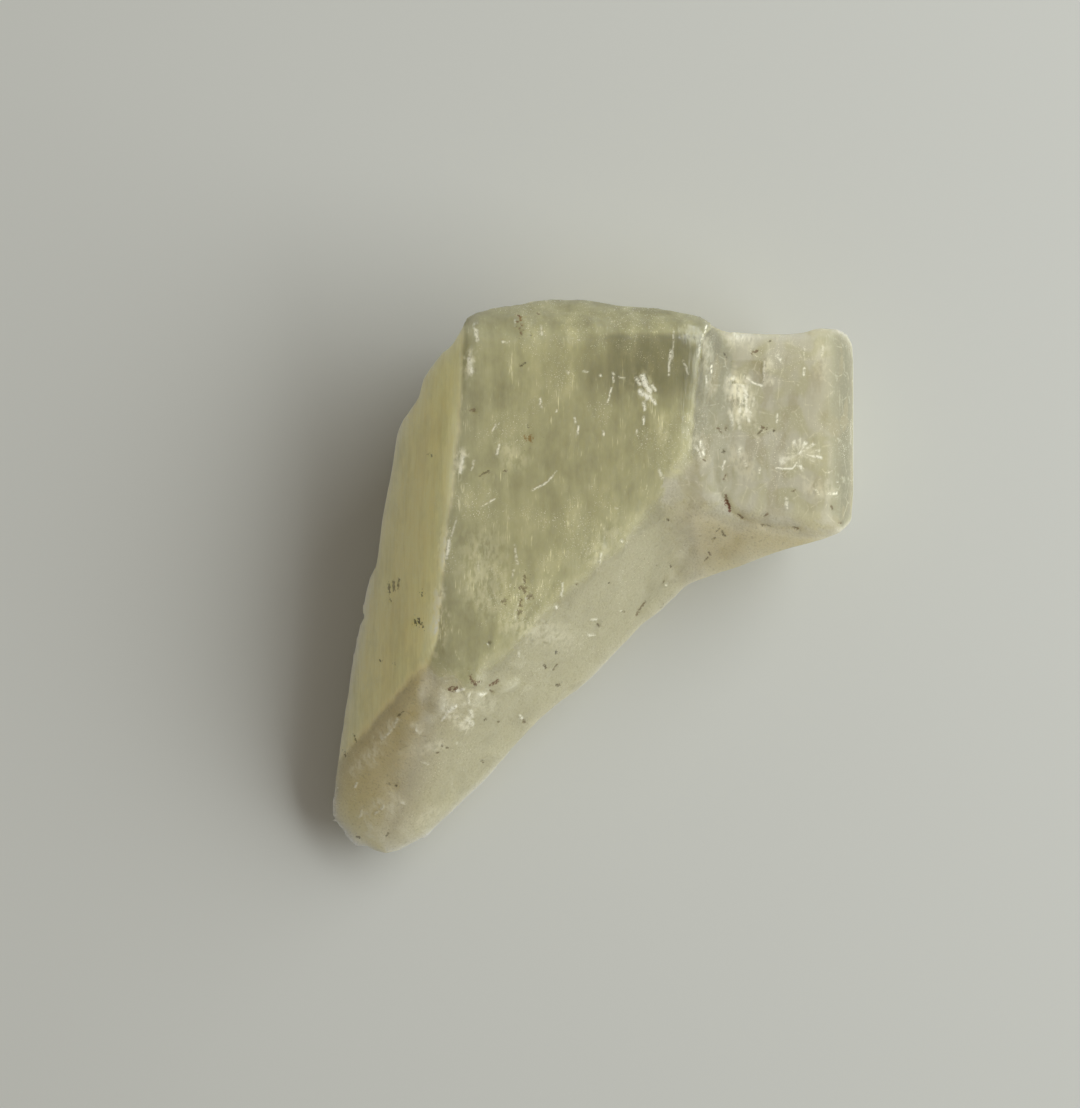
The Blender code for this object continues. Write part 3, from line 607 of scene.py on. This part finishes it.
# First the acid's wear: the slopes, then their crests, the valley and the seam.
bm = bmesh.new()
bm.from_mesh(crystal_mesh)
points, normals = skin_of(bm)
near_slope = shows(points, normals, PRISM, SLOPES + FOOT + ("right_wall",), 1.8)
near_skirt = shows(points, normals, BLOCK, ("block_skirt", "block_end"), 0.9)
worn(bm, [v for v, e in zip(bm.verts, np.maximum(near_slope, near_skirt)) if e > 0.1], ETCH_ROUNDS)
points, normals = skin_of(bm)
crests = shows(points, normals, PRISM, CRESTS, CREST_REACH)
valley = np.abs(top_of(PRISM, points) - top_of(BLOCK, points)) < VALLEY_REACH
valley &= (points[:, 0] > BLOCK_START) & (points[:, 1] < VALLEY_HEAD) & (normals[:, 2] > 0.1)
seam = distance_to_line(points, CHIP_SEAM) < SEAM_REACH
worn(bm, [v for v, c in zip(bm.verts, crests + (valley | seam)) if c > 0.1], CREST_ROUNDS)

# A finer mesh where the small marks come.
middles = np.array([f.calc_center_median() for f in bm.faces])
marked = marks_over(middles, STAINS, FINE_REACH)[0] > 0
marked |= marks_over(middles, GLINTS, FINE_REACH)[0] > 0
from_burst = middles[:, :2] - STARBURST
marked |= np.hypot(from_burst[:, 0], from_burst[:, 1]) < STARBURST_REACH
marked |= (np.abs(middles[:, :2] - RECESS) - RECESS_HALF).max(axis=1) < RECESS_MARGIN
marked &= np.array([f.normal.z > 0.1 for f in bm.faces])
bm.faces.ensure_lookup_table()
edges = {e for f, m in zip(bm.faces, marked) if m for e in f.edges}
bmesh.ops.subdivide_edges(bm, edges=list(edges), cuts=2, use_grid_fill=True)

# Masks from 0 to 1 for the parts of the skin.
points, normals = skin_of(bm)
edge_width = 0.35 + 0.25 * smoothstep(4.5, 0.0, points[:, 1])
level = np.zeros_like(normals) + (0, 0, 1)  # lets a mask run on round the edge to the underside
upward = facing_up(normals)
slopes = shows(points, level, PRISM, SLOPES + ("right_wall",), edge_width)
drop = height_over(PRISM["broad"], points) - points[:, 2]
slopes *= smoothstep(-0.05, 0.15 + 0.95 * smoothstep(4.5, 1.5, points[:, 1]), drop)
skirt = shows(points, level, BLOCK, ("block_skirt",), 0.9)
foot_part = shows(points, level, PRISM, FOOT, 0.5)
uncut = shows(points, normals, PRISM, ("broad", "head_bevel") + HEAD, 0.3)
block_part = shows(points, normals, BLOCK, BLOCK_TOPS)
uncut = np.maximum(uncut, block_part)
junction = smoothstep(2.6, 3.6, points[:, 0]) * (1 - uncut) * upward
under = smoothstep(0.45, 0.05, normals[:, 2])
etched = np.max([slopes, skirt, foot_part, junction], axis=0)
rounded = np.max([shows(points, level, PRISM, SLOPES, 0.5), skirt, foot_part], axis=0) * upward
head = shows(points, normals, PRISM, HEAD)
broken = 1 - smoothstep(0.2, 0.5, np.abs(points[:, 1] - HEAD_BREAK))
hackly = np.clip(head + broken * smoothstep(0.5, 0.8, normals[:, 1]), 0, 1)
left = shows(points, level, PRISM, ("left",), 0.2)
above = smoothstep(0.2, 0.5, normals[:, 2])
links = np.array([[v.index for v in e.verts] for e in bm.edges])
# Sheer faces and the underside count as etched, so they take the etched skin's colour, whose
# lighter end is painted light for skin in the lamp's shade.
under = smoothstep(0.5, 1.0, softened(under, links, SKIN_SOFTENING))
etched = np.maximum(softened(etched, links, SKIN_SOFTENING), under)
# How far the skin is turned from the lamp, which sets the painted light and shade of the etched
# skin's colour.
turned = softened(1 - normals @ LAMP_SIDE, links, SKIN_SOFTENING)
left = softened(left, links, LEFT_SOFTENING)

# The relief along the skin's normals, and the marks that cut into it.
ribs = terraces(noise_at(along_growth(points, 0.8, 0.05), 1), RIB_STEPS)
ribs += 0.35 * noise_at(along_growth(points, 2.6, 0.16), 2)
frost = noise_at(points * 0.6, 3) + 0.35 * noise_at(points * 1.7, 4)
frost += 0.12 * noise_at(points * 4.5, 14)
hackle = terraces(noise_at(points * np.array([0.9, 0.9, 1.6]), 5), HACKLE_STEPS)
lift = RIB_HEIGHT * ribs * (1 - rounded) * (1 - hackly)
lift += FROST_HEIGHT * frost * rounded + HACKLE_HEIGHT * hackle * hackly
crevice = np.exp(-((distance_to_line(points, CREVICE) / CREVICE_WIDTH) ** 2))
lift -= CREVICE_DEPTH * crevice * (1 + noise_at(points * 3, 9)) * above
rim = height_over(PRISM["right_wall"], points) - height_over(PRISM["broad"], points)
lift += RIM_HEIGHT * noise_at(points * 2.2, 33) * np.exp(-((rim / RIM_SPREAD) ** 2)) * above
knobs = np.exp(-((distance_to_line(points, KNOB_LINE) / KNOB_SPREAD) ** 2))
lift += KNOB_HEIGHT * np.maximum(noise_at(points * 1.3, 7), -0.2) * knobs
for x, y, radius, depth in PITS:
    away = np.hypot(points[:, 0] - x, points[:, 1] - y)
    lift -= depth * np.exp(-((away / radius) ** 2)) * above
wander = np.stack([noise_at(points * 5, 21), noise_at(points * 5, 22)], axis=1)
strayed = points[:, :2] + STRAY * wander
stain, tone = marks_over(strayed, STAINS, STAIN_REACH)
glint, glow = marks_over(strayed, GLINTS, GLINT_REACH)
pepper = marks_over(strayed, STAINS, PEPPER_REACH)[0]
haze, whiteness = marks_over(strayed + HAZE_STRAY * wander, HAZES, HAZE_REACH)
bright = np.maximum(glint * glow, rays_over(strayed))
lift -= STAIN_DEPTH * stain * above
lift += LUMP_HEIGHT * (glint + haze * np.abs(noise_at(points * 3, 31))) * rounded
inside = smoothstep(RECESS_EDGE, -RECESS_EDGE, np.abs(strayed - RECESS) - RECESS_HALF)
lift -= RECESS_DEPTH * inside.prod(axis=1) * above
lift *= smoothstep(0, RELIEF_FADE, points[:, 2])

# The skin is lifted, stays inside the solid's box, and rests flat.
resting = points[:, 2] < RESTING_HEIGHT
points += normals * lift[:, None]
lowest, highest = np.array(cad_box) / MM + np.array(MIDDLE)
points = np.clip(points, lowest, highest)
points[resting, 2] = 0
for vert, point in zip(bm.verts, points):
    vert.co = point

# What the material reads of all this.
window = smoothstep(-1.5, 1.5, points[:, 0]) * smoothstep(6.8, 8.4, points[:, 1])
window *= shows(points, normals, PRISM, ("broad",), 0.2)
skin = {
    "frosted": etched,  # by acid, and counted on the sheer faces and the underside too
    "turned": turned,  # from the lamp, for the painted light and shade of the etched skin
    "pale": 0.95 * block_part,
    "left": left,
    "clear": np.maximum(0.4 * window, 0.12 * head),
    "stain": stain * above,
    "tone": tone,  # of the stain, from black to rust-red
    "pepper": pepper * above,
    "glint": bright * above,
    "haze": haze * whiteness * above,
}
bm.to_mesh(crystal_mesh)
bm.free()
for name, values in skin.items():
    layer = crystal_mesh.attributes.new(name, "FLOAT", "POINT")
    layer.data.foreach_set("value", values.astype(np.float32))
crystal_mesh.transform(Matrix.Scale(MM, 4) @ Matrix.Translation(-MIDDLE))
crystal_mesh.shade_smooth()
crystal_mesh.name = "hiddenite_crystal"
crystal = bpy.data.objects.new("hiddenite_crystal", crystal_mesh)
bpy.context.scene.collection.objects.link(crystal)
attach(crystal, "root")
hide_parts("crystal")

# The stone: clear yellow-green spodumene where the surface is bright, clouded by fine cracks
# inside and frosted by acid outside. Light is tinted by how much stone it passes through.


class Value:
    """A shader value that adds its own Math nodes."""

    def __init__(self, graph, socket):
        self.graph, self.socket = graph, socket

    def maths(self, operation, other=0.0, swap=False):
        a, b = (other, self) if swap else (self, other)
        return self.graph.node("ShaderNodeMath", {"operation": operation}, {0: a, 1: b})

    def __add__(self, other):
        return self.maths("ADD", other)

    def __radd__(self, other):
        return self.maths("ADD", other)

    def __sub__(self, other):
        return self.maths("SUBTRACT", other)

    def __rsub__(self, other):
        return self.maths("SUBTRACT", other, True)

    def __mul__(self, other):
        return self.maths("MULTIPLY", other)

    def __rmul__(self, other):
        return self.maths("MULTIPLY", other)

    def __or__(self, other):
        return self.maths("MAXIMUM", other)


class Graph:
    """A material's nodes."""

    def __init__(self, name):
        self.material = bpy.data.materials.new(name)
        self.material.use_nodes = True
        self.tree = self.material.node_tree
        self.tree.nodes.clear()
        self.out = self.tree.nodes.new("ShaderNodeOutputMaterial")

    def node(self, kind, settings=None, sockets=None, output=0):
        """Any node: its type, its settings, the values or links of its sockets, and one output."""
        made = self.tree.nodes.new(kind)
        for name, value in (settings or {}).items():
            if name == "stops":
                ramp = made.color_ramp
                while len(ramp.elements) < len(value):
                    ramp.elements.new(0.5)
                for element, (position, colour) in zip(ramp.elements, value):
                    element.position = position
                    element.color = (*colour, 1)
            else:
                setattr(made, name, value)
        for key, value in (sockets or {}).items():
            if isinstance(value, Value):
                self.tree.links.new(value.socket, made.inputs[key])
            elif isinstance(value, tuple) and len(made.inputs[key].default_value) == 4:
                made.inputs[key].default_value = (*value, 1)
            else:
                made.inputs[key].default_value = value
        return Value(self, made.outputs[output])

    def noise(self, place, scale, detail=2.0, roughness=0.5, distortion=0.0):
        sockets = {"Vector": place, "Scale": scale, "Detail": detail, "Roughness": roughness,
                   "Distortion": distortion}
        return self.node("ShaderNodeTexNoise", {}, sockets)

    def between(self, value, low, high, to_low=0.0, to_high=1.0):
        """A value turned smoothly from one range to another."""
        sockets = {"Value": value, "From Min": low, "From Max": high, "To Min": to_low,
                   "To Max": to_high}
        return self.node("ShaderNodeMapRange", {"interpolation_type": "SMOOTHSTEP"}, sockets)

    def attribute(self, name):
        """One of the crystal's own masks."""
        return self.node("ShaderNodeAttribute", {"attribute_name": name}, {}, "Fac")

    def blend(self, factor, a, b):
        return self.node("ShaderNodeMix", {"data_type": "RGBA"}, {0: factor, 6: a, 7: b}, 2)

    def ramp(self, value, stops):
        return self.node("ShaderNodeValToRGB", {"stops": stops}, {"Fac": value})

    def along_growth(self, place, along):
        """Object coordinates in millimetres, turned to the c axis and scaled along it."""
        sockets = {"Vector": place, "Rotation": (0, 0, C_AXIS_LEAN),
                   "Scale": (1 / MM, along / MM, 1 / MM)}
        return self.node("ShaderNodeMapping", {}, sockets)


REFRACTION = 1.66
ABSORPTION = (0.84, 0.81, 0.42)
ABSORPTION_DENSITY = 50.0
CLEAR_SKIN = (1.0, 1.0, 0.97)
CLOUDY = (0.79, 0.755, 0.46)  # the cracked stone of the broad face
SHADE_LIFTED_PALE_BAND = (1.0, 0.9, 0.57)  # of the left face along its growth lines, with the next: its own yellower milk, painted brighter to lift the shade of a face turned from the lamp
SHADE_LIFTED_DEEP_BAND = (0.95, 0.845, 0.5)
BLOCK_PATCH = (0.57, 0.54, 0.42)
BLOCK_SHADE = (0.45, 0.4, 0.26)
CHALK = (0.8, 0.78, 0.62)  # of the etched dashes
FROST_SHADE = (0.4, 0.36, 0.23)  # between the grains of the frost
WHITE_CRACKS = (0.92, 0.88, 0.7)
# White of cracks and chips, also the colour of painted highlights and sparkles.
WHITE_CHIPS_AND_HIGHLIGHTS = (0.95, 0.92, 0.76)
LAMP_EVENED_CRUST = [  # the etched skin's colour by how far it is turned from the lamp: painted darker facing the lamp, lighter where it lies in shade, a little darker again on the far side
    (0.0, (0.25, 0.24, 0.175)), (0.17, (0.53, 0.5, 0.34)), (0.25, (0.59, 0.55, 0.375)),
    (0.36, (0.65, 0.605, 0.445)), (0.41, (0.77, 0.715, 0.52)), (0.47, (0.73, 0.65, 0.385)),
    (0.62, (0.62, 0.56, 0.36)), (0.75, (0.56, 0.52, 0.33)),
]
RUST = [  # from black to rust
    (0.0, (0.02, 0.014, 0.008)), (0.35, (0.15, 0.11, 0.045)), (0.85, (0.16, 0.065, 0.03)),
    (1.0, (0.27, 0.18, 0.055)),
]
BROWN = 0.35  # the stain's tone at which it covers least
SCATTER_DEPTH = 0.0035
SKIN_RELIEF = 0.00005

stone = Graph("hiddenite")
place = stone.node("ShaderNodeTexCoord", {}, {}, "Object")
even = stone.node("ShaderNodeMapping", {}, {"Vector": place, "Scale": (1 / MM, 1 / MM, 1 / MM)})
grow = stone.along_growth(place, 0.06)
drift = stone.along_growth(place, 0.45)

# Patterns, in millimetres, and where each look lies.
clear_here = stone.attribute("clear")
pale_here = stone.attribute("pale")
away_from_lamp_here = stone.attribute("turned")
tone_here = stone.attribute("tone")
striae = stone.noise(grow, 5.0, 3.0, 0.6)
scratches = stone.noise(grow, 15.0, 2.0, 0.55)
ribs_here = stone.noise(grow, 1.6, 2.0, 0.5)
grain = stone.noise(even, 9.0, 3.0, 0.6)
clouds = stone.noise(even, 0.45, 3.0, 0.55)
wisps = stone.noise(drift, 1.3, 3.0, 0.55)
crumbs = stone.noise(drift, 5.0, 3.0, 0.6)
patches = stone.noise(even, 0.8, 2.0, 0.5, 0.7)
ragged = stone.noise(even, 9.0, 3.0, 0.65)
left_here = stone.between(stone.attribute("left") + 0.6 * (wisps - 0.5), 0.15, 0.9)
frosted_here = stone.between(stone.attribute("frosted") + 0.9 * (wisps - 0.5), 0.0, 1.0)
etch_dashes = stone.between(scratches, 0.58, 0.72) * stone.between(wisps, 0.48, 0.66)
stained = stone.between(stone.attribute("stain") + 2.6 * (ragged - 0.5), 0.55, 1.05)
specks = stone.between(ragged, 0.64, 0.7) * stone.between(stone.attribute("pepper"), 0.3, 0.8)
off_brown = tone_here - BROWN
rust_here = (stained | 0.7 * specks) * (0.7 + 1.2 * (off_brown * off_brown))
# Painted highlights: tiny white sparkles scattered where the stone is cloudier.
painted_sparkles = stone.between(stone.noise(even, 25.0, 0.0), 0.72, 0.78) * stone.between(clouds, 0.5, 0.6)
glint_here = stone.attribute("glint") * stone.between(ragged, 0.38, 0.56, 0.15, 1.4) | 0.8 * painted_sparkles
cells = stone.node(
    "ShaderNodeTexVoronoi", {"feature": "DISTANCE_TO_EDGE"},
    {"Vector": even, "Scale": 1.0, "Detail": 1.0, "Roughness": 0.6},
)
cracks = pale_here * stone.between(cells, 0.035, 0.0) * stone.between(crumbs, 0.45, 0.6)
haze_here = stone.attribute("haze") * stone.between(crumbs, 0.35, 0.6) | 0.22 * cracks
etch_dashes = etch_dashes * (1 - 0.6 * left_here) * (1 - 0.7 * frosted_here)

# Fine relief: growth lines on fresh skin, grain on etched skin.
lines = 0.6 * (striae + ribs_here) * (1 - frosted_here) * (1 - 0.9 * pale_here)
skin_height = lines + 2.0 * (grain * frosted_here)
skin_normal = stone.node(
    "ShaderNodeBump", {}, {"Height": skin_height, "Distance": SKIN_RELIEF, "Strength": 0.7}
)

# How clouded the stone is, from 0 clear to 1 milky.
veil = 0.3 * (clouds - 0.5) + 0.3 * (wisps - 0.5) + 0.25 * (ribs_here - 0.5) + 0.4 * etch_dashes
veil = veil + 0.12 * (crumbs - 0.5)
veil = (0.5 + veil * (1 - 0.6 * pale_here)) * (1 - clear_here)
# The left face is clouded more, so that more of its brightened milk shows: painted light against
# the shade on it.
veil = veil + 0.5 * frosted_here + 0.48 * pale_here + 0.45 * left_here
veil = stone.node("ShaderNodeClamp", {}, {"Value": veil + 0.6 * haze_here})

# The colour of the clouded stone, then of what lies in its pits and cracks, with painted highlights
# on the bright chips.
mosaic = pale_here * stone.between(patches, 0.42, 0.58) * stone.between(away_from_lamp_here, 0.1, 0.35)
# The left face's banded milk, painted brighter than the broad face's to lift its shade.
banded = stone.between(0.5 * (striae + scratches), 0.4, 0.6)
banded = stone.blend(banded, SHADE_LIFTED_DEEP_BAND, SHADE_LIFTED_PALE_BAND)
milk = stone.blend(left_here, CLOUDY, banded)
# Etched and pale skin take a colour painted by how they face the lamp: darker towards it, lighter
# where turned into shade.
lamp_evened_crust = stone.ramp(0.5 * away_from_lamp_here, LAMP_EVENED_CRUST)
milk = stone.blend(stone.between(frosted_here, 0.05, 0.85) | pale_here, milk, lamp_evened_crust)
milk = stone.blend(mosaic, milk, BLOCK_PATCH)
milk = stone.blend(0.45 * pale_here * stone.between(wisps, 0.48, 0.38), milk, BLOCK_SHADE)
chalk = stone.node("ShaderNodeClamp", {}, {"Value": 0.35 * etch_dashes + 0.5 * (grain - 0.5)})
milk = stone.blend(chalk, milk, CHALK)
milk = stone.blend(0.4 * frosted_here * stone.between(grain, 0.48, 0.3), milk, FROST_SHADE)
milk = stone.blend(haze_here, milk, WHITE_CRACKS)
rust = stone.ramp(tone_here, RUST)
rust_or_glint_colour = stone.blend(stone.between(glint_here - rust_here, -0.05, 0.05), rust, WHITE_CHIPS_AND_HIGHLIGHTS)

# Clear and clouded stone, mixed, then its rust and its white chips with their painted highlights,
# with the tint of its depth.
clear = stone.node(
    "ShaderNodeBsdfPrincipled", {},
    {"Base Color": CLEAR_SKIN, "Roughness": 0.12 + 0.3 * frosted_here, "IOR": REFRACTION,
     "Transmission Weight": 1.0, "Normal": skin_normal},
)
milky = stone.node(
    "ShaderNodeBsdfPrincipled", {},
    {"Base Color": milk, "Roughness": 0.38 + 0.2 * (frosted_here | pale_here), "IOR": REFRACTION,
     "Specular IOR Level": 0.15, "Subsurface Weight": 1.0, "Subsurface Radius": (1.0, 1.0, 1.0),
     "Subsurface Scale": SCATTER_DEPTH, "Normal": skin_normal},
)
rust_and_glints = stone.node(
    "ShaderNodeBsdfPrincipled", {}, {"Base Color": rust_or_glint_colour, "Roughness": 0.6, "Normal": skin_normal}
)
body_look = stone.node("ShaderNodeMixShader", {}, {0: veil, 1: clear, 2: milky})
surface = stone.node("ShaderNodeMixShader", {}, {0: rust_here | glint_here, 1: body_look, 2: rust_and_glints})
tint = stone.node(
    "ShaderNodeVolumeAbsorption", {}, {"Color": ABSORPTION, "Density": ABSORPTION_DENSITY}
)
stone.tree.links.new(surface.socket, stone.out.inputs["Surface"])
stone.tree.links.new(tint.socket, stone.out.inputs["Volume"])
crystal_mesh.materials.clear()
crystal_mesh.materials.append(stone.material)

# The table: a plain, matt, pale surface on which the crystal lies loose. It is set a hair below
# the stone so that the two don't share a plane.

TABLE_HALF = 0.6
TABLE_DROP = 0.00003
TABLE_PAINT = (0.66, 0.67, 0.645)
bm = bmesh.new()
bmesh.ops.create_grid(bm, x_segments=1, y_segments=1, size=TABLE_HALF)
bmesh.ops.translate(bm, verts=bm.verts[:], vec=(0, 0, -TABLE_DROP))
table = to_object(bm, "table_top")
paint = Graph("pale_table")
matt = paint.node("ShaderNodeBsdfPrincipled", {}, {"Base Color": TABLE_PAINT, "Roughness": 0.8})
paint.tree.links.new(matt.socket, paint.out.inputs["Surface"])
table.data.materials.append(paint.material)

# The light: one soft lamp near the right and towards the head of the crystal, under an even
# pale sky, as by a window.

SKY_COLOUR = (1.0, 0.91, 0.78)
SKY_STRENGTH = 0.26
LAMP_COLOUR = (0.96, 1.0, 0.99)
LAMP_WATTS = 0.99
LAMP_SIZE = (0.44, 0.2)
LAMP_PLACE = (0.22, 0.055, 0.16)
sky = bpy.data.worlds.new("room")
sky.use_nodes = True
background = sky.node_tree.nodes["Background"]
background.inputs["Color"].default_value = (*SKY_COLOUR, 1)
background.inputs["Strength"].default_value = SKY_STRENGTH
bpy.context.scene.world = sky
lamp = bpy.data.lights.new("window_light", "AREA")
lamp.shape = "RECTANGLE"
lamp.size, lamp.size_y = LAMP_SIZE
lamp.energy = LAMP_WATTS
lamp.color = LAMP_COLOUR
window_lamp = bpy.data.objects.new("window_light", lamp)
window_lamp.location = LAMP_PLACE
window_lamp.rotation_euler = window_lamp.location.to_track_quat("Z", "Y").to_euler()
bpy.context.scene.collection.objects.link(window_lamp)

# The camera: it looks straight down from a hand's length above the table, a little to the left
# of the crystal and towards its head, and takes in about two crystals' heights.

CAMERA_HEIGHT = 160.0
CAMERA_OVER = (-2.193, 0.989)
VIEW_HEIGHT = 47.64  # of the whole picture, at the height below
VIEW_LEVEL = 4.0
SENSOR = 36.0
lens = bpy.data.cameras.new("camera")
lens.sensor_width = SENSOR
lens.lens = SENSOR * (CAMERA_HEIGHT - VIEW_LEVEL) / VIEW_HEIGHT
lens.clip_start = 0.01
lens.clip_end = 10.0
camera = bpy.data.objects.new("camera", lens)
camera.location = (Vector((*CAMERA_OVER, CAMERA_HEIGHT)) - MIDDLE) * MM
bpy.context.scene.collection.objects.link(camera)
bpy.context.scene.camera = camera
bpy.context.scene.view_settings.view_transform = "Standard"
